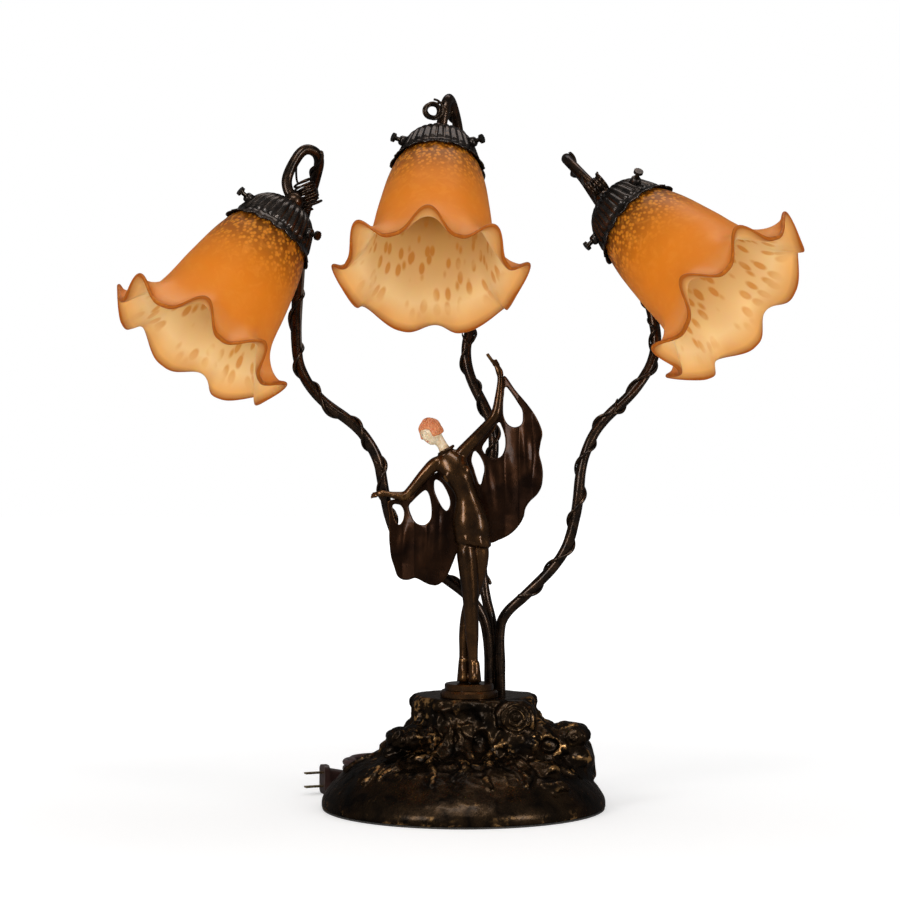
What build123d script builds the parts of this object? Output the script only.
from build123d import *
import os
from math import cos, pi, radians, sin, tan

# Three-light figural table lamp: a caped dancer in bronze on a rocky base, and
# three vine-wound tubes that rise behind the figure and carry ruffled glass bells.
# Millimetres, +Z up, the viewer at -Y. The origin is the middle of the underside.

os.makedirs("parts", exist_ok=True)

# ---------------------------------------------------------------- driving sizes
fit = 0.05  # radial clearance of a shaft or tube in its hole
gap = 0.3  # clearance between curved faces of separate pieces

felt_t = 1.5
felt_inset = 0.6
base_r = 127.5
base_wall = 5.0
rim_h = 9.0  # upright band round the foot of the casting
skirt_top_r = 74.0
skirt_top_z = 40.0
stump_x = 10.0
stump_y = 12.0
plateau_z = 100.0
plateau_t = 8.0

plinth_r = 26.0
plinth_h = 12.0
figure_x = 5.0
figure_y = -6.0
bolt_r = 3.0
bolt_head_r = 6.5
bolt_head_h = 5.0

tube_r = 4.75
tube_bore = 3.9
lead_r = 2.6  # the pair of wires that runs inside each tube
stem_x = 28.6
stem_y = 30.0
stem_pitch = 10.2  # between the three tubes where they stand bundled
stem_plate_r = 15.5
stem_plate_t = 3.0
stem_screw_r = 2.0
stem_screw_spread = 9.5
stem_screw_back = 5.5
chamber_r = 36.0  # hollow of the stump

vine_r = 1.4
vine_pitch = 50.0
vine_steps = 8  # points of the wire to each turn
tendril_wire_r = 0.8
tendril_r = 6.5
tendril_turns = 7

knuckle_r = 9.0
knuckle_cut = 6.5  # from the knuckle's middle to the flat that seats on the gallery
nipple_r = 5.0
nipple_bore = 3.6
nipple_below = 9.0

gallery_h = 38.0
gallery_rim_r = 41.5
gallery_wall = 1.5
flute_count = 32
flute_rise = 1.0
petal_count = 16
petal_notch_r = 3.4

glass_wall = 3.0
fitter_r = 28.5
fitter_z = -25.0  # top edge of the glass, from the plane of the gallery's rim
shade_join_r = 53.0
shade_join_z = 70.0
ruffles = 8
crest_r = 84.0
crest_z = 110.0
scallop_r = 74.0
scallop_z = 128.0

socket_r = 16.0
socket_top_z = -35.0
socket_h = 31.0
cap_r = 13.2
cap_h = 24.0
bulb_r = 22.0
bulb_tip_z = 45.0

screw_z = -18.0  # height of the thumbscrews in the gallery
screw_shaft_r = 2.0
screw_head_r = 4.2
screw_head_t = 2.6
screw_out_r = 47.0
screw_boss_r = 4.6
screw_boss_out = 39.5
screw_count = 3
screw_phase = 30.0  # one screw at the back and two towards the front, for a bell seen from -Y

cord_r = 3.0
cord_length = 1800.0  # bench to bench: outlet, switch, coil and plug together
coil_x = -78.0
coil_y = 165.0
coil_turn_r = 33.0
coil_w = 12.0
coil_h = 24.0
exit_angle = 50.0
exit_z = 7.5
bushing_r = 6.0
bushing_tip_r = 3.9
bushing_reach = 27.5
tie_w = 9.0
tie_t = 1.2

switch_l = 54.0
switch_h = 14.4
switch_near = 7.0  # half-width on the side without the wheel
switch_far = 17.0
switch_x = 22.0
wheel_r = 8.0
wheel_t = 5.0
wheel_offset = 11.4

plug_x = -131.5
plug_y = 80.0
plug_heading = 23.0  # from the blades towards the cord
plug_flange_h = 27.0
plug_flange_t = 5.0
plug_body_l = 27.0
plug_w = 13.0
blade_pitch = 12.7
blade_w = 6.35
blade_t = 1.5
blade_l = 17.0
blade_hole_r = 1.6

# ------------------------------------------------------- places of the three lights
# Middle of each gallery's rim, and how its axis leans to the side and tips forward.
lights = {
    "left": {"rim": (-174.7, -22.6, 508.2), "lean": -31.8, "tip": 19.8, "turn": 4.4},
    "centre": {"rim": (-23.3, -0.3, 573.0), "lean": -3.8, "tip": 32.3, "turn": 4.5},
    "right": {"rim": (153.9, -47.5, 519.1), "lean": 46.8, "tip": 27.1, "turn": 18.0},
}


def light_plane(name):
    """Plane at a gallery's rim whose normal is the way that the bell opens."""
    light = lights[name]
    lean, tip = radians(light["lean"]), radians(light["tip"])
    axis = Vector(sin(lean) * cos(tip), -sin(tip), -cos(lean) * cos(tip))
    level = axis.cross(Vector(0, 1, 0)).normalized()
    across = level.rotate(Axis((0, 0, 0), axis), light["turn"])
    return Plane(origin=light["rim"], x_dir=across, z_dir=axis)


def on_axis(name, distance):
    """Point on a bell's axis, measured from the plane of the gallery's rim."""
    plane = light_plane(name)
    return plane.origin + plane.z_dir * distance


# Centre lines of the arms, from the foot up to the knuckle over each gallery. The
# last point of each is the knuckle's middle, which the light's own plane gives.
stem_spots = [
    (stem_x - stem_pitch / 2, stem_y - stem_pitch * 0.289),
    (stem_x, stem_y + stem_pitch * 0.577),
    (stem_x + stem_pitch / 2, stem_y - stem_pitch * 0.289),
]
stem_screw_spots = [
    (stem_x - stem_screw_spread, stem_y + stem_screw_back),
    (stem_x + stem_screw_spread, stem_y + stem_screw_back),
]
tube_foot_z = plateau_z - plateau_t - stem_plate_t
arm_points = {
    "left": [
        (23.0, 26.0, 150.0),
        (17.0, 25.0, 174.0),
        (-1.0, 24.0, 194.0),
        (-35.0, 20.0, 217.0),
        (-58.0, 14.0, 236.0),
        (-68.0, 9.0, 262.0),
        (-72.5, 6.0, 290.0),
        (-77.0, 4.0, 315.0),
        (-95.0, 0.0, 343.0),
        (-128.0, 4.0, 364.0),
        (-147.0, 10.0, 393.0),
        (-150.0, 20.0, 429.0),
        (-147.0, 28.0, 485.0),
        (-144.0, 30.0, 533.0),
        (-135.0, 26.0, 566.0),
        (-128.5, 14.0, 588.0),
        (-144.0, 4.0, 595.0),
        (-156.0, -2.0, 574.0),
        (-160.0, -5.0, 559.0),
    ],
    "centre": [
        (28.0, 37.0, 158.0),
        (18.0, 45.0, 195.0),
        (16.5, 50.0, 235.0),
        (19.0, 50.0, 284.0),
        (29.5, 48.0, 318.0),
        (26.0, 50.0, 350.0),
        (7.0, 54.0, 385.0),
        (1.0, 57.0, 412.0),
        (9.0, 58.0, 440.0),
        (8.5, 60.0, 490.0),
        (3.0, 62.0, 552.0),
        (-3.0, 60.0, 611.0),
        (-10.0, 46.0, 641.0),
        (-15.0, 27.0, 643.0),
    ],
    "right": [
        (32.5, 27.5, 152.0),
        (36.0, 29.0, 171.0),
        (62.0, 27.0, 193.0),
        (94.0, 24.0, 227.0),
        (104.0, 22.0, 268.0),
        (107.0, 22.0, 310.0),
        (122.0, 26.0, 344.0),
        (158.0, 36.0, 375.0),
        (178.0, 42.0, 408.0),
        (176.0, 48.0, 445.0),
        (158.0, 54.0, 494.0),
        (136.0, 52.0, 534.0),
        (109.0, 38.0, 572.0),
        (90.0, 14.0, 589.0),
        (100.0, -8.0, 573.0),
    ],
}
exit_plane = Plane(
    origin=(0, 0, exit_z),
    x_dir=(-sin(radians(exit_angle)), cos(radians(exit_angle)), 0),
    z_dir=(cos(radians(exit_angle)), sin(radians(exit_angle)), 0),
)
plug_plane = Plane(
    origin=(plug_x, plug_y, plug_flange_h / 2),
    x_dir=(-sin(radians(plug_heading)), cos(radians(plug_heading)), 0),
    z_dir=(cos(radians(plug_heading)), sin(radians(plug_heading)), 0),
)
lead_route = [
    tuple(exit_plane.offset(base_r + bushing_reach).origin),
    tuple(exit_plane.offset(base_r + bushing_reach + 16).origin),
    (117.0, 149.0, 6.8),
    (114.0, 169.0, 6.6),
    (102.0, 186.0, 6.8),
    (83.0, 196.0, 7.0),
    (61.0, 198.0, 7.2),
    (-12.0, 198.0, 7.2),
    (-30.0, 193.0, 7.2),
    (-41.0, 180.0, 7.2),
    (-45.0, 162.0, 7.2),
]
tail_route = [
    tuple(plug_plane.offset(plug_flange_t + plug_body_l).origin),
    tuple(plug_plane.offset(plug_flange_t + plug_body_l + 15).origin),
    (-76.0, 108.5, 11.5),
    (-67.0, 119.5, 10.0),
    (-58.4, 133.0, 9.0),
]


# --------------------------------------------------------------------- helpers
def finish(builder, name):
    """Label a finished piece and write it under its own name."""
    builder.part.label = name
    export_step(builder.part, f"parts/{name}.step")


def corner_radii(route):
    """Bend radius at each inner point: 0.45 of the shorter run over tan(turn / 2)."""
    spots = [Vector(*point) for point in route]
    radii = []
    for before, here, after in zip(spots, spots[1:], spots[2:]):
        arrive, leave = here - before, after - here
        half_turn = radians(arrive.get_angle(leave)) / 2
        radii.append(0.45 * min(arrive.length, leave.length) / tan(half_turn))
    return radii


def bent_path(route):
    """Wire of straight runs joined by tangent arcs."""
    with BuildLine() as path:
        FilletPolyline(*route, radius=corner_radii(route))
    return path.wire()


def round_bar(route, radius, bore=0.0):
    """Rod, or tube if a bore is given, along a bent path."""
    path = bent_path(route)
    with BuildPart() as bar:
        with BuildSketch(Plane(origin=path @ 0, z_dir=path % 0)):
            Circle(radius)
            if bore:
                Circle(bore, mode=Mode.SUBTRACT)
        sweep(path=path)
    return bar.part


def twining_route(path, offset, pitch, start, end, phase):
    """Points of a wire that winds round a path at a constant distance from it."""
    offset = offset / cos(pi / vine_steps)
    turns = (end - start) * path.length / pitch
    count = round(turns * vine_steps)
    side = (path % start).cross(Vector(0, 1, 0)).normalized()
    points = []
    for step in range(count + 1):
        share = start + (end - start) * step / count
        along = path % share
        side = (side - along * side.dot(along)).normalized()
        other = along.cross(side)
        angle = radians(phase) + 2 * pi * step / vine_steps
        points.append((path @ share) + side * (offset * cos(angle)) + other * (offset * sin(angle)))
    return [tuple(point) for point in points]


def coil_route(middle, axis, across, radius, pitch, turns):
    """Points of a close coil of wire that starts at its middle point and runs along its axis."""
    other = axis.cross(across)
    points = []
    for step in range(turns * vine_steps + 1):
        angle = 2 * pi * step / vine_steps
        rise = axis * (pitch * step / vine_steps)
        points.append(middle + rise + across * (radius * cos(angle)) + other * (radius * sin(angle)))
    return [tuple(point) for point in points]


def body_of(stations, turn=0.0):
    """Smooth closed body through ellipses (x, y, z, half-width, half-depth) along a limb."""
    spots = [Vector(*station[:3]) for station in stations]
    sections = []
    for index, station in enumerate(stations):
        ahead = spots[min(index + 1, len(spots) - 1)] - spots[max(index - 1, 0)]
        forward = Vector(0, 1, 0)
        across = (forward - ahead.normalized() * forward.dot(ahead.normalized())).cross(ahead)
        plane = Plane(origin=spots[index], x_dir=across, z_dir=ahead)
        with BuildSketch(plane) as section:
            Ellipse(station[3], station[4], rotation=turn)
        sections.append(section.sketch)
    with BuildPart() as limb:
        loft(sections=sections)
    return limb.part


def pebble(half_length, half_width):
    """Rounded stone: an ellipse turned about its long axis, which lies along X."""
    with BuildPart() as stone:
        with BuildSketch(Plane.XY) as outline:
            Ellipse(half_length, half_width)
            with Locations((0, -half_width)):
                Rectangle(3 * half_length, 2 * half_width, mode=Mode.SUBTRACT)
        revolve(axis=Axis.X)
    return stone.part


def rough_section(height, radius, swell, phase):
    """Uneven round outline of the stump at one height."""
    count = 15
    points = []
    for index in range(count):
        angle = 2 * pi * index / count
        reach = radius * (1 + swell * sin(3 * angle + phase) + 0.6 * swell * cos(5 * angle - phase))
        points.append((stump_x + reach * cos(angle), stump_y + 0.92 * reach * sin(angle)))
    with BuildSketch(Plane.XY.offset(height)) as section:
        Polygon(*points, align=None)
    return section.sketch


def wall_face(plane, outer, wall):
    """Closed profile of a wall: an outer curve of (radius, height) and its inner parallel."""
    inner = []
    for index, (r, z) in enumerate(outer):
        r0, z0 = outer[max(index - 1, 0)]
        r1, z1 = outer[min(index + 1, len(outer) - 1)]
        length = ((r1 - r0) ** 2 + (z1 - z0) ** 2) ** 0.5
        inner.append((r - wall * (z1 - z0) / length, z + wall * (r1 - r0) / length))
    with BuildSketch(plane) as section:
        with BuildLine():
            Spline(*outer)
            Line(outer[-1], inner[-1])
            Spline(*reversed(inner))
            Line(inner[0], outer[0])
        make_face()
    return section.sketch


# ------------------------------------------------------------------------ base
with BuildPart() as base_felt:
    Cylinder(base_r - felt_inset, felt_t, align=(Align.CENTER, Align.CENTER, Align.MIN))
finish(base_felt, "base_felt")

# boulders of the casting: x, y, z of the foot, size, height, sides, way and amount of lean
boulders = [
    (84.0, -10.0, 26.0, 32.0, 38.0, 7, -20, 8),
    (72.0, 34.0, 26.0, 32.0, 30.0, 6, 25, 12),
    (58.0, -30.0, 34.0, 25.0, 38.0, 6, -50, 14),
    (34.0, -62.0, 18.0, 27.0, 30.0, 7, -75, 20),
    (-8.0, -62.0, 18.0, 27.0, 28.0, 6, -100, 16),
    (-48.0, -46.0, 16.0, 25.0, 26.0, 7, -130, 20),
    (-70.0, 8.0, 18.0, 27.0, 30.0, 6, 175, 14),
    (-44.0, 52.0, 20.0, 30.0, 34.0, 7, 130, 12),
    (12.0, 76.0, 20.0, 30.0, 36.0, 6, 95, 16),
    (58.0, 66.0, 18.0, 26.0, 30.0, 7, 50, 18),
    (-30.0, -22.0, 62.0, 19.0, 36.0, 6, -140, 10),
    (28.0, -38.0, 52.0, 22.0, 40.0, 7, -80, 14),
]
boulder_taper = 20
scoop_plane = Plane(origin=(-42.0, -20.0, 48.0), z_dir=(-0.78, -0.55, 0.35))
scoop_r = 22.0
scoop_h = 20.0
scoop_wall = 4.0
whorl_plane = Plane(origin=(44.0, -36.0, 84.0), z_dir=(0.25, -0.9, 0.35))
whorl_steps = [(17.0, 10.0), (12.5, 12.5), (8.0, 15.0), (3.8, 17.0)]  # radius, height
foot_z = felt_t
rim_top_z = foot_z + rim_h


def leaning(x, y, z, way, lean):
    """Plane at a spot, tipped by an angle towards a compass way."""
    out = sin(radians(lean))
    normal = (out * cos(radians(way)), out * sin(radians(way)), cos(radians(lean)))
    return Plane(origin=(x, y, z), z_dir=normal)


with BuildPart() as rock_base:
    with BuildSketch(Plane.XZ):
        with BuildLine():
            Polyline(
                (skirt_top_r, skirt_top_z),
                (0, skirt_top_z),
                (0, foot_z),
                (base_r, foot_z),
                (base_r, rim_top_z),
            )
            ThreePointArc(
                (base_r, rim_top_z),
                ((base_r + skirt_top_r) / 2 - 3, (rim_top_z + skirt_top_z) / 2 - 4),
                (skirt_top_r, skirt_top_z),
            )
        make_face()
    revolve(axis=Axis.Z)
    loft(
        sections=[
            rough_section(skirt_top_z - 12, 66.0, 0.05, 0.4),
            rough_section(62.0, 57.0, 0.07, 1.0),
            rough_section(80.0, 52.0, 0.06, 1.7),
            rough_section(plateau_z, 55.0, 0.04, 2.3),
        ],
        ruled=True,
    )
    for x, y, z, size, height, sides, way, lean in boulders:
        with BuildSketch(leaning(x, y, z, way, lean)):
            RegularPolygon(size, side_count=sides)
        extrude(amount=height, taper=boulder_taper)
    with BuildSketch(scoop_plane):
        Circle(scoop_r)
    extrude(amount=scoop_h)
    for step_r, step_h in whorl_steps:
        with BuildSketch(whorl_plane):
            Circle(step_r)
        extrude(amount=step_h, taper=14)
    # the scooped shell is open to the front left
    with BuildSketch(scoop_plane.offset(scoop_h / 3)):
        Circle(scoop_r - 2 * scoop_wall)
    extrude(amount=scoop_h, taper=-14, mode=Mode.SUBTRACT)
    # nothing of the rock stands above the plateau or below the rim
    with BuildSketch(Plane.XY.offset(plateau_z)):
        Circle(base_r)
    extrude(amount=plateau_z, mode=Mode.SUBTRACT)
    # the casting is hollow: a low chamber under the skirt and a tall one in the stump
    with BuildSketch(Plane.XZ):
        with BuildLine():
            Polyline(
                (0, foot_z),
                (base_r - base_wall, foot_z),
                (base_r - base_wall, rim_top_z - base_wall),
                (skirt_top_r - base_wall, skirt_top_z - 3 * base_wall),
                (0, skirt_top_z - 3 * base_wall),
                close=True,
            )
        make_face()
    revolve(axis=Axis.Z, mode=Mode.SUBTRACT)
    with BuildSketch(Plane.XY.offset(rim_top_z)):
        with Locations((stump_x + 4, stump_y + 5)):
            Circle(chamber_r)
    extrude(amount=plateau_z - plateau_t - rim_top_z, mode=Mode.SUBTRACT)
    # holes for the three tubes, the plate's screws, the figure's bolt and the cord
    with BuildSketch(Plane.XY.offset(plateau_z - 2 * plateau_t)):
        with Locations(*stem_spots):
            Circle(tube_r + fit)
        with Locations((figure_x, figure_y)):
            Circle(bolt_r + fit)
    extrude(amount=3 * plateau_t, mode=Mode.SUBTRACT)
    with BuildSketch(Plane.XY.offset(plateau_z - plateau_t)):
        with Locations(*stem_screw_spots):
            Circle(stem_screw_r + fit)
    extrude(amount=plateau_t - 2, mode=Mode.SUBTRACT)
    with BuildSketch(exit_plane.offset(base_r - 4 * base_wall)):
        Circle(bushing_r - 1.5 + fit)
    extrude(amount=6 * base_wall, mode=Mode.SUBTRACT)
finish(rock_base, "rock_base")

with BuildPart() as stem_plate:
    with BuildSketch(Plane.XY.offset(tube_foot_z)):
        with Locations((stem_x, stem_y)):
            Circle(stem_plate_r)
        with Locations(*stem_spots):
            Circle(tube_r + fit, mode=Mode.SUBTRACT)
        with Locations(*stem_screw_spots):
            Circle(stem_screw_r + fit, mode=Mode.SUBTRACT)
    extrude(amount=stem_plate_t)
finish(stem_plate, "stem_plate")

with BuildPart() as stem_screws:
    for x, y in stem_screw_spots:
        with Locations((x, y, tube_foot_z)):
            Cylinder(2 * stem_screw_r, 2.2, align=(Align.CENTER, Align.CENTER, Align.MAX))
            Cylinder(
                stem_screw_r,
                stem_plate_t + plateau_t - 3,
                align=(Align.CENTER, Align.CENTER, Align.MIN),
            )
finish(stem_screws, "stem_screws")

# ------------------------------------------------- cord outlet and what is on the cord
with BuildPart() as cord_bushing:
    with BuildSketch(exit_plane.offset(base_r - base_wall - 3)):
        Circle(bushing_r - 1.5)
    extrude(amount=base_wall + 3 + gap)
    with BuildSketch(exit_plane.offset(base_r + gap)):
        Circle(bushing_r)
    with BuildSketch(exit_plane.offset(base_r + bushing_reach)):
        Circle(bushing_tip_r)
    loft()
    with BuildSketch(exit_plane.offset(base_r - 3 * base_wall)):
        Circle(cord_r + fit)
    extrude(amount=3 * base_wall + bushing_reach - 4, mode=Mode.SUBTRACT)
finish(cord_bushing, "cord_bushing")

with BuildPart() as cord_lead:
    add(round_bar(lead_route, cord_r))
finish(cord_lead, "cord_lead")

with BuildPart() as cord_tail:
    add(round_bar(tail_route, cord_r))
finish(cord_tail, "cord_tail")

section = pi * cord_r**2
straight = bent_path(lead_route).length + bent_path(tail_route).length
for name, route, piece in (("lead", lead_route, cord_lead), ("tail", tail_route, cord_tail)):
    print(name, "bend radii", [round(r, 1) for r in corner_radii(route)])
    print(name, "volume over section x length", piece.part.volume / (section * bent_path(route).length))
print("turns in the coil", (cord_length - straight) / (2 * pi * coil_turn_r))

coil_axis = Axis((coil_x, coil_y, 0), (0, 0, 1))
tie_plane = Plane(origin=(coil_x, coil_y, coil_h / 2), x_dir=(1, 0, 0), z_dir=(0, -1, 0))
with BuildPart() as cord_coil:
    with BuildSketch(tie_plane):
        with Locations((coil_turn_r, 0)):
            RectangleRounded(coil_w, coil_h, cord_r)
    revolve(axis=coil_axis)
finish(cord_coil, "cord_coil")

with BuildPart() as cord_tie:
    with BuildSketch(tie_plane.offset(-tie_w / 2)):
        with Locations((coil_turn_r, tie_t / 2)):
            RectangleRounded(coil_w + 2 * tie_t + 2, coil_h + tie_t, cord_r + tie_t)
    extrude(amount=tie_w)
    with BuildSketch(tie_plane):
        with Locations((coil_turn_r, 0)):
            RectangleRounded(coil_w + 2 * gap, coil_h + 2 * gap, cord_r + gap)
    revolve(axis=coil_axis, mode=Mode.SUBTRACT)
finish(cord_tie, "cord_tie")

switch_y = lead_route[-4][1]
switch_z = lead_route[-4][2]
with BuildPart() as switch_housing:
    with BuildSketch(Plane.XY):
        with Locations((switch_x, switch_y + (switch_far - switch_near) / 2)):
            RectangleRounded(switch_l, switch_near + switch_far, 6.0)
    extrude(amount=switch_h)
    fillet(switch_housing.edges().group_by(Axis.Z)[-1], 2.5)
    with BuildSketch(Plane.YZ.offset(switch_x - switch_l)):
        with Locations((switch_y, switch_z)):
            Circle(cord_r + fit)
    extrude(amount=2 * switch_l, mode=Mode.SUBTRACT)
    with BuildSketch(Plane.XY.offset(switch_z - wheel_t / 2 - gap)):
        with Locations((switch_x, switch_y + wheel_offset)):
            Circle(wheel_r + gap)
    extrude(amount=wheel_t + 2 * gap, mode=Mode.SUBTRACT)
    with BuildSketch(Plane.XY.offset(switch_z - wheel_t)):
        with Locations((switch_x, switch_y + wheel_offset)):
            Circle(1.5)
    extrude(amount=2 * wheel_t)
finish(switch_housing, "switch_housing")

with BuildPart() as switch_wheel:
    with BuildSketch(Plane.XY.offset(switch_z - wheel_t / 2)):
        with Locations((switch_x, switch_y + wheel_offset)):
            Circle(wheel_r)
            with PolarLocations(wheel_r, 18):
                Circle(0.6, mode=Mode.SUBTRACT)
            Circle(1.5 + fit, mode=Mode.SUBTRACT)
    extrude(amount=wheel_t)
finish(switch_wheel, "switch_wheel")

with BuildPart() as plug_body:
    with BuildSketch(plug_plane):
        RectangleRounded(plug_w + 3, plug_flange_h, 5.0)
    extrude(amount=plug_flange_t)
    with BuildSketch(plug_plane.offset(plug_flange_t)):
        RectangleRounded(plug_w - 1, plug_flange_h - 6, 4.0)
    with BuildSketch(plug_plane.offset(plug_flange_t + plug_body_l)):
        RectangleRounded(2 * cord_r + 3, 2 * cord_r + 4, 4.0)
    loft()
    with BuildSketch(plug_plane):
        with Locations((0, blade_pitch / 2), (0, -blade_pitch / 2)):
            Rectangle(blade_w + 2 * fit, blade_t + 2 * fit)
    extrude(amount=12, mode=Mode.SUBTRACT)
finish(plug_body, "plug_body")

with BuildPart() as plug_blades:
    with BuildSketch(plug_plane.offset(-blade_l)):
        with Locations((0, blade_pitch / 2), (0, -blade_pitch / 2)):
            Rectangle(blade_w, blade_t)
    extrude(amount=blade_l + 11)
    with Locations(plug_plane.offset(-blade_l + 3.5).location * Location((0, 0, 0), (90, 0, 0))):
        Cylinder(blade_hole_r, 2 * blade_pitch, mode=Mode.SUBTRACT)
finish(plug_blades, "plug_blades")

with BuildPart() as wire_nuts:
    for spot in ((-6.0, 20.0), (10.0, -16.0)):
        with Locations((spot[0], spot[1], felt_t)):
            Cone(5.5, 3.2, 16.0, align=(Align.CENTER, Align.CENTER, Align.MIN))
finish(wire_nuts, "wire_nuts")

# ------------------------------------------------------------------ arms and lights
def arm_route(name, spot):
    """Centre line of an arm from its foot under the plateau to the knuckle."""
    ends = on_axis(name, -gallery_h - knuckle_cut)
    foot = [(spot[0], spot[1], tube_foot_z), (spot[0], spot[1], plateau_z + 18)]
    return foot + arm_points[name] + [tuple(ends)]


bell_curve = [
    (fitter_r, fitter_z),
    (fitter_r, fitter_z + 5),
    (fitter_r - 0.8, fitter_z + 10),
    (fitter_r + 1.2, fitter_z + 14),
    (fitter_r + 6, -6),
    (fitter_r + 12.5, 8),
    (fitter_r + 16.8, 24),
    (fitter_r + 20.6, 44),
    (shade_join_r - 1.6, shade_join_z - 12),
]
# the skirt's curve from the bell's waist to its edge, as shares of reach and drop
scallop_shares = [(0, 0), (0.14, 0.26), (0.36, 0.53), (0.64, 0.78), (1, 1)]
crest_shares = [(0, 0), (0.11, 0.30), (0.31, 0.59), (0.61, 0.84), (1, 1)]
petal_angle = pi / ruffles
petal_cuts = [-1.0, -0.62, -0.3, 0.0, 0.3, 0.62]


def bell_wall(angle):
    """Wall of the ruffled bell on one half-plane; a crest stands at angle 0."""
    share = (0.5 + 0.5 * cos(ruffles * angle)) ** 1.6
    outer = list(bell_curve)
    for (low_r, low_z), (top_r, top_z) in zip(scallop_shares, crest_shares):
        low = (low_r * (scallop_r - shade_join_r), low_z * (scallop_z - shade_join_z))
        top = (top_r * (crest_r - shade_join_r), top_z * (crest_z - shade_join_z))
        r = shade_join_r + low[0] + share * (top[0] - low[0])
        z = shade_join_z + low[1] + share * (top[1] - low[1])
        outer.append((r, z))
    half_plane = Plane(
        origin=(0, 0, 0),
        x_dir=(cos(angle), sin(angle), 0),
        z_dir=(sin(angle), -cos(angle), 0),
    )
    return wall_face(half_plane, outer, glass_wall)


with BuildPart() as half_bell:
    crests = range(ruffles // 2)
    cuts = [petal_angle * (2 * crest + cut) for crest in crests for cut in petal_cuts]
    loft(sections=[bell_wall(cut) for cut in cuts + [petal_angle * (ruffles - 1)]])

with BuildPart() as bell:
    with PolarLocations(0, 2):
        add(half_bell.part)

# the fluted holder: a thin dome with beads down it, a notched rim and three bosses
gallery_curve = [
    (9.5, -gallery_h),
    (24, 5 - gallery_h),
    (34.5, -20),
    (38.5, -9),
    (gallery_rim_r, 0),
]
flute_curve = [(r + flute_rise * 0.7, z - flute_rise * 0.7) for r, z in gallery_curve]
with BuildPart() as gallery_flute:
    add(wall_face(Plane.XZ, flute_curve, 1.6))
    revolve(axis=Axis.Z, revolution_arc=180 / flute_count)

with BuildPart() as gallery_blank:
    add(wall_face(Plane.XZ, gallery_curve, gallery_wall))
    revolve(axis=Axis.Z)
    with BuildSketch(Plane.XY.offset(-gallery_h)):
        Circle(11.0)
    extrude(amount=gallery_wall + 0.8)
    with PolarLocations(0, flute_count):
        add(gallery_flute.part)
    with BuildSketch(Plane.XY.offset(-gallery_h - 3)):
        Circle(13.0)
    extrude(amount=3.0, mode=Mode.SUBTRACT)
    with BuildSketch(Plane.XY.offset(-gallery_h - 2)):
        Circle(nipple_r + fit)
    extrude(amount=6, mode=Mode.SUBTRACT)
    with PolarLocations(gallery_rim_r, petal_count):
        with Locations(Location((0, 0, 1.6), (0, 90, 0))):
            Cylinder(petal_notch_r, 8, mode=Mode.SUBTRACT)
    with PolarLocations(0, screw_count, start_angle=screw_phase):
        with Locations(Location((screw_boss_out / 2 + 15.5, 0, screw_z), (0, 90, 0))):
            Cylinder(screw_boss_r, screw_boss_out - 31)
    with PolarLocations(0, screw_count, start_angle=screw_phase):
        with Locations(Location((fitter_r + 8, 0, screw_z), (0, 90, 0))):
            Cylinder(screw_shaft_r + fit, 22, mode=Mode.SUBTRACT)

with BuildPart() as thumbscrew_blank:
    with BuildSketch(Plane.YZ.offset(fitter_r + gap)) as shaft:
        with Locations((0, screw_z)):
            Circle(screw_shaft_r)
    extrude(amount=screw_out_r - screw_head_t - fitter_r - gap)
    with BuildSketch(Plane.YZ.offset(screw_out_r - screw_head_t)):
        with Locations((0, screw_z)):
            Circle(screw_head_r)
            with PolarLocations(screw_head_r, 12):
                Circle(0.45, mode=Mode.SUBTRACT)
    extrude(amount=screw_head_t)

with BuildPart() as nipple_blank:
    with BuildSketch(Plane.XY.offset(-gallery_h - 2.5)):
        Circle(nipple_r)
        Circle(nipple_bore, mode=Mode.SUBTRACT)
    extrude(amount=nipple_below)

with BuildPart() as socket_blank:
    with BuildSketch(Plane.XZ):
        with BuildLine():
            Polyline(
                (nipple_r + fit, socket_top_z),
                (socket_r - 3, socket_top_z),
                (socket_r, socket_top_z + 4),
                (socket_r, socket_top_z + socket_h),
                (cap_r + gap, socket_top_z + socket_h),
                (cap_r + gap, socket_top_z + socket_h - cap_h - gap),
                (nipple_r + fit, socket_top_z + socket_h - cap_h - gap),
                close=True,
            )
        make_face()
    revolve(axis=Axis.Z)

with BuildPart() as cap_blank:
    with BuildSketch(Plane.XY.offset(socket_top_z + socket_h - cap_h)):
        Circle(cap_r)
    extrude(amount=cap_h)

glass_top_z = socket_top_z + socket_h
with BuildPart() as bulb_blank:
    with BuildSketch(Plane.XZ):
        with BuildLine():
            Line((0, glass_top_z), (cap_r, glass_top_z))
            Spline(
                (cap_r, glass_top_z),
                (bulb_r - 3, glass_top_z + 9),
                (bulb_r, bulb_tip_z - bulb_r),
                (0.7 * bulb_r, bulb_tip_z - 0.28 * bulb_r),
                (0, bulb_tip_z),
                tangents=[(0.3, 1), (-1, 0)],
            )
            Line((0, bulb_tip_z), (0, glass_top_z))
        make_face()
    revolve(axis=Axis.Z)


def screw_turn(number):
    """Turn about the bell's axis that brings a thumbscrew to its own hole."""
    return Location((0, 0, 0), (0, 0, screw_phase + number * 360 / screw_count))


blanks = {
    "shade": bell,
    "gallery": gallery_blank,
    "gallery_nipple": nipple_blank,
    "socket": socket_blank,
    "bulb_cap": cap_blank,
    "bulb_glass": bulb_blank,
}
for side in lights:
    for piece, blank in blanks.items():
        with BuildPart() as placed:
            with Locations(light_plane(side).location):
                add(blank.part)
        finish(placed, f"{piece}_{side}")
    for number in range(screw_count):
        with BuildPart() as placed:
            with Locations(light_plane(side).location * screw_turn(number)):
                add(thumbscrew_blank.part)
        finish(placed, f"thumbscrew_{side}_{number + 1}")

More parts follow.
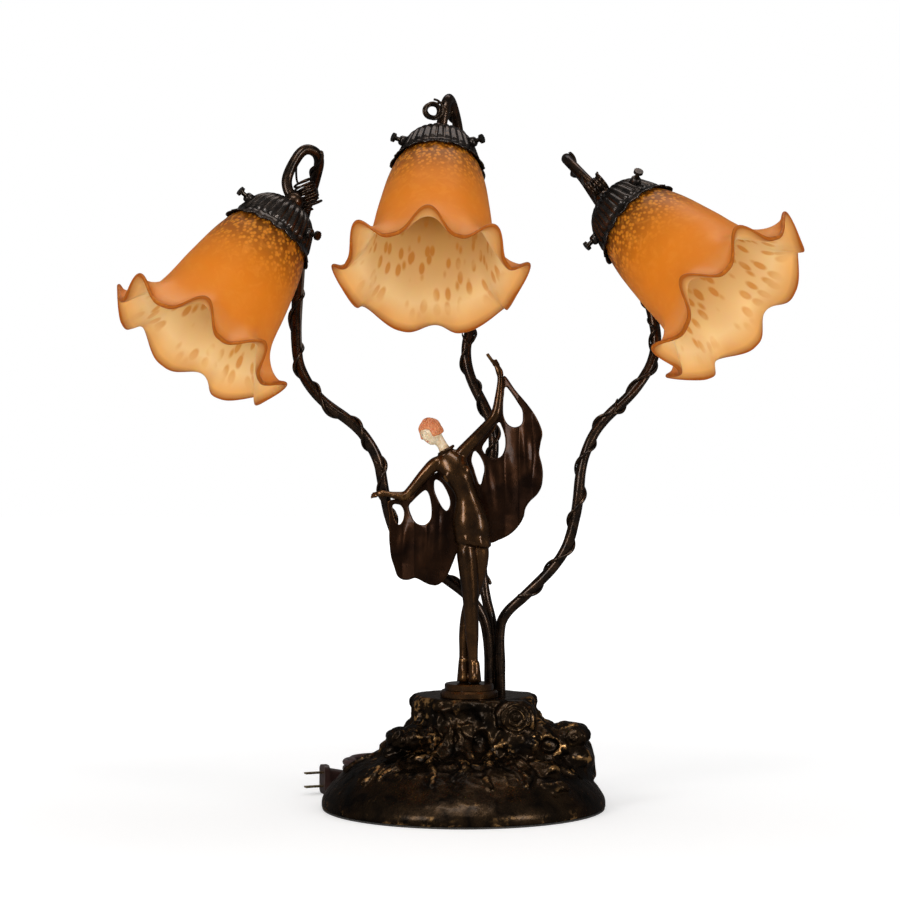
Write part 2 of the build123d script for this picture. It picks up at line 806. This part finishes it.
# ------------------------------------------------------------------------ arms
vine_spans = {"left": (0.17, 0.90), "centre": (0.19, 0.92), "right": (0.17, 0.90)}
tendrils = {
    "left": {
        "share": 0.93,
        "middle": (-141, 8, 561),
        "axis": (0.1, 0, -1),
        "across": (0, 1, 0),
    },
    "centre": {
        "share": 0.95,
        "middle": (-29.5, 12, 627),
        "axis": (0, -1, 0),
        "across": (0, 0, 1),
    },
    "right": {
        "share": 0.95,
        "middle": (110, -56, 548),
        "axis": (0.75, 0, 0.65),
        "across": (-0.6, 0, 0.75),
    },
}
leads = []
for spot, side in zip(stem_spots, lights):
    route = arm_route(side, spot)
    print(side, "arm bend radii", [round(r, 1) for r in corner_radii(route)])
    with BuildPart() as tube:
        add(round_bar(route, tube_r, tube_bore))
    finish(tube, f"arm_tube_{side}")
    leads.append(round_bar(route, lead_r))

    path = bent_path(route)
    start, end = vine_spans[side]
    with BuildPart() as vine:
        add(round_bar(twining_route(path, tube_r + vine_r + gap, vine_pitch, start, end, 90), vine_r))
    finish(vine, f"vine_{side}")

    curl = tendrils[side]
    across = Vector(*curl["across"]).normalized()
    axis = Vector(*curl["axis"]).normalized()
    axis = (axis - across * axis.dot(across)).normalized()
    middle = Vector(*curl["middle"])
    turns = coil_route(middle, axis, across, tendril_r, 2 * tendril_wire_r + gap, tendril_turns)
    # the wire starts on the tube's own surface
    with BuildPart() as tendril:
        add(round_bar([tuple(path @ curl["share"])] + turns, tendril_wire_r))
        add(round_bar(route, tube_r), mode=Mode.SUBTRACT)
    finish(tendril, f"tendril_{side}")

    inward = (path @ 1) - (path % 1) * knuckle_r * 1.5
    with BuildPart() as knuckle:
        with Locations(path @ 1):
            Sphere(knuckle_r)
        with BuildSketch(light_plane(side).offset(-gallery_h)):
            Circle(2 * knuckle_r)
        extrude(amount=2 * knuckle_r, mode=Mode.SUBTRACT)
        with BuildSketch(light_plane(side).offset(-gallery_h - 2.5)):
            Circle(nipple_r + fit)
        extrude(amount=2 * knuckle_r, mode=Mode.SUBTRACT)
        with BuildSketch(Plane(origin=path @ 1, z_dir=inward - (path @ 1))):
            Circle(tube_r + fit)
        extrude(amount=2 * knuckle_r, mode=Mode.SUBTRACT)
    finish(knuckle, f"knuckle_{side}")

with BuildPart() as arm_leads:
    for lead in leads:
        add(lead)
finish(arm_leads, "arm_leads")

# ---------------------------------------------------------------------- figure
foot_top_z = plateau_z + plinth_h
with BuildPart() as figure_plinth:
    with BuildSketch(Plane.XZ.offset(-figure_y)):
        with BuildLine():
            Polyline(
                (figure_x, plateau_z),
                (figure_x + plinth_r, plateau_z),
                (figure_x + plinth_r, plateau_z + 0.35 * plinth_h),
                (figure_x + plinth_r - 1.5, plateau_z + 0.5 * plinth_h),
                (figure_x + plinth_r - 4, plateau_z + 0.55 * plinth_h),
                (figure_x + plinth_r - 4, foot_top_z - 1),
                (figure_x + plinth_r - 5, foot_top_z),
                (figure_x, foot_top_z),
                close=True,
            )
        make_face()
    revolve(axis=Axis((figure_x, figure_y, 0), (0, 0, 1)))
    with BuildSketch(Plane.XY.offset(plateau_z)):
        with Locations((figure_x, figure_y)):
            Circle(bolt_r + fit)
    extrude(amount=plinth_h - 4, mode=Mode.SUBTRACT)
finish(figure_plinth, "figure_plinth")

with BuildPart() as figure_bolt:
    with Locations((figure_x, figure_y, plateau_z - plateau_t)):
        Cylinder(bolt_r, plateau_t + plinth_h - 5, align=(Align.CENTER, Align.CENTER, Align.MIN))
        Cylinder(bolt_head_r, bolt_head_h, align=(Align.CENTER, Align.CENTER, Align.MAX))
finish(figure_bolt, "figure_bolt")

neck_plane = Plane(origin=(-16.5, -6, 322), x_dir=(0.87, 0, 0.5), z_dir=(-0.5, 0, 0.87))
# ellipses (x, y, z, half-width, half-depth) from one end of each limb to the other
torso = [
    (7.7, -6, 232, 14.5, 10.5),
    (6.7, -6, 245, 16.4, 12),
    (5.5, -6, 258, 16.2, 12.3),
    (2.0, -6, 276, 12, 9.5),
    (-3.0, -6, 290, 11.3, 9),
    (-9.0, -6, 303, 14, 10.2),
    (-12.5, -6, 313, 14.5, 8.6),
    (-14.5, -6, 320, 8.0, 6.2),
    (-16.0, -6, 324, 5.6, 5.2),
]
left_arm = [
    (-22, -6, 313, 5.6, 5.6),
    (-33, -7, 303, 5.2, 5.0),
    (-46, -8, 284, 4.6, 4.4),
    (-54, -8, 279, 4.4, 4.0),
    (-66, -7, 281, 3.2, 3.0),
    (-72, -6, 282, 3.6, 3.4),
    (-78, -5.5, 279, 2.6, 2.6),
]
right_arm = [
    (-3, -6, 317, 5.6, 5.6),
    (9, -6, 329, 5.2, 5.0),
    (24, -5, 346, 4.6, 4.4),
    (30, -4, 358, 4.3, 4.0),
    (33, -2, 385, 3.1, 3.0),
    (31, -2, 395, 3.8, 3.2),
    (25, -2, 407, 2.2, 2.2),
]
standing_leg = [
    (3, -7, 243, 8.6, 8.6),
    (5, -8, 215, 7.8, 8.2),
    (6.5, -9, 186, 6.4, 6.8),
    (7, -8.5, 165, 6.6, 7.0),
    (7.5, -7.5, 138, 4.4, 4.8),
    (8, -7.5, 121, 4.2, 4.8),
    (9.5, -10, foot_top_z - 2, 5.4, 9.0),
]
free_leg = [
    (12.5, -4, 250, 7.0, 7.0),
    (15, -1.5, 215, 7.2, 7.7),
    (9, 5, 186, 5.9, 6.1),
    (0, 5, 160, 5.0, 5.4),
    (-3, 2.5, 135, 4.6, 5.0),
    (-4, 1, foot_top_z - 2, 6.0, 7.5),
]
with BuildPart() as dancer_body:
    for limb in (torso, left_arm, right_arm, standing_leg, free_leg):
        add(body_of(limb))
    with BuildSketch(Plane.XY.offset(foot_top_z - 12)):
        with Locations((figure_x, figure_y)):
            Circle(2 * plinth_r)
    extrude(amount=12, mode=Mode.SUBTRACT)
    # seat of the neck, square to the tilt of the head
    with BuildSketch(neck_plane):
        Circle(12)
    extrude(amount=12, mode=Mode.SUBTRACT)
finish(dancer_body, "dancer_body")

with BuildPart() as dancer_head:
    with BuildSketch(neck_plane):
        Ellipse(5.2, 4.8)
    with BuildSketch(neck_plane.offset(9)):
        with Locations((-3, 0)):
            Ellipse(4.4, 4.4)
    loft()
    with Locations(neck_plane.offset(17).location * Location((-5.5, 0, 0), (0, 90, 0))):
        add(pebble(13.2, 11.2))
    with Locations(neck_plane.offset(20).location * Location((-4.2, 1.2, 0), (0, 80, 0))):
        add(pebble(12.6, 12.4))
finish(dancer_head, "dancer_head")

cape_t = 2.2


def cape(outline, closing, holes, waves):
    """Thin waved sheet: an outline with holes, cut from a slab that waves in depth."""
    with BuildPart() as sheet:
        with BuildSketch(Plane.XZ.offset(-40)):
            with BuildLine():
                Spline(*outline)
                Polyline(outline[-1], *closing, outline[0])
            make_face()
            for hole in holes:
                with BuildLine():
                    Spline(*hole, periodic=True)
                make_face(mode=Mode.SUBTRACT)
        extrude(amount=80)
        with BuildSketch(Plane.XY.offset(150)):
            with BuildLine():
                front = Spline(*[(x, y - cape_t / 2) for x, y in waves])
                back = Spline(*[(x, y + cape_t / 2) for x, y in waves])
                Line(front @ 0, back @ 0)
                Line(front @ 1, back @ 1)
            make_face()
        extrude(amount=300, mode=Mode.INTERSECT)
    return sheet.part


right_outline = [
    (36.6, 387),
    (58.9, 360.8),
    (71, 336.7),
    (68, 317.7),
    (71.5, 300),
    (66.5, 281),
    (56, 268),
    (51.3, 254.3),
    (40, 243),
    (24.6, 237.2),
]
right_closing = [(12, 252), (2, 275), (-3, 295), (-4, 311), (8, 326), (22, 341), (29, 352), (33, 374)]
right_holes = [
    [(38, 378), (49, 363.5), (53.4, 352), (52, 344), (46, 341), (39.8, 344), (35.5, 352), (35.6, 362)],
    [(31.6, 346), (35.4, 339), (37.9, 329), (37, 319), (32, 313), (25, 312), (20, 316), (17, 324), (24, 336)],
    [(10, 320), (15, 315), (18.9, 306.3), (17.5, 296), (14.5, 288), (10.7, 298.7), (7, 311)],
]
right_waves = [(-20, 0), (0, 0), (14, 0), (27, -1.5), (37, 0), (47, 5), (59, 0), (80, 4)]
# the capes are brazed along the body and arms, so those are cut out of them
with BuildPart() as cape_right:
    add(cape(right_outline, right_closing, right_holes, right_waves))
    add(dancer_body.part, mode=Mode.SUBTRACT)
finish(cape_right, "cape_right")

left_outline = [
    (-67.6, 275),
    (-66.5, 255),
    (-66.5, 236),
    (-62.5, 216.3),
    (-55, 204.5),
    (-44, 205.5),
    (-35.4, 201.7),
    (-24, 199),
    (-14, 209),
    (-5.3, 229.8),
]
left_closing = [(-3, 245), (-4, 262), (-8, 280), (-12, 297), (-24, 300), (-36, 290), (-47, 279)]
left_holes = [
    [(-63.5, 271), (-55.5, 270.5), (-53, 265), (-55, 256), (-58, 252.6), (-62, 257), (-64, 264)],
    [(-49, 270), (-42, 278), (-34, 286), (-30, 280), (-28, 267), (-30, 258), (-35, 253), (-43, 255)],
    [(-25.5, 294), (-20, 291), (-14.5, 284), (-12, 277), (-12, 271), (-15, 265), (-19, 268), (-24, 276)],
]
left_waves = [(-80, -4), (-68, -4.4), (-58, -5), (-48, -3.4), (-36, -5), (-24, -1.5), (-10, 0), (10, 0)]
with BuildPart() as cape_left:
    add(cape(left_outline, left_closing, left_holes, left_waves))
    add(dancer_body.part, mode=Mode.SUBTRACT)
finish(cape_left, "cape_left")
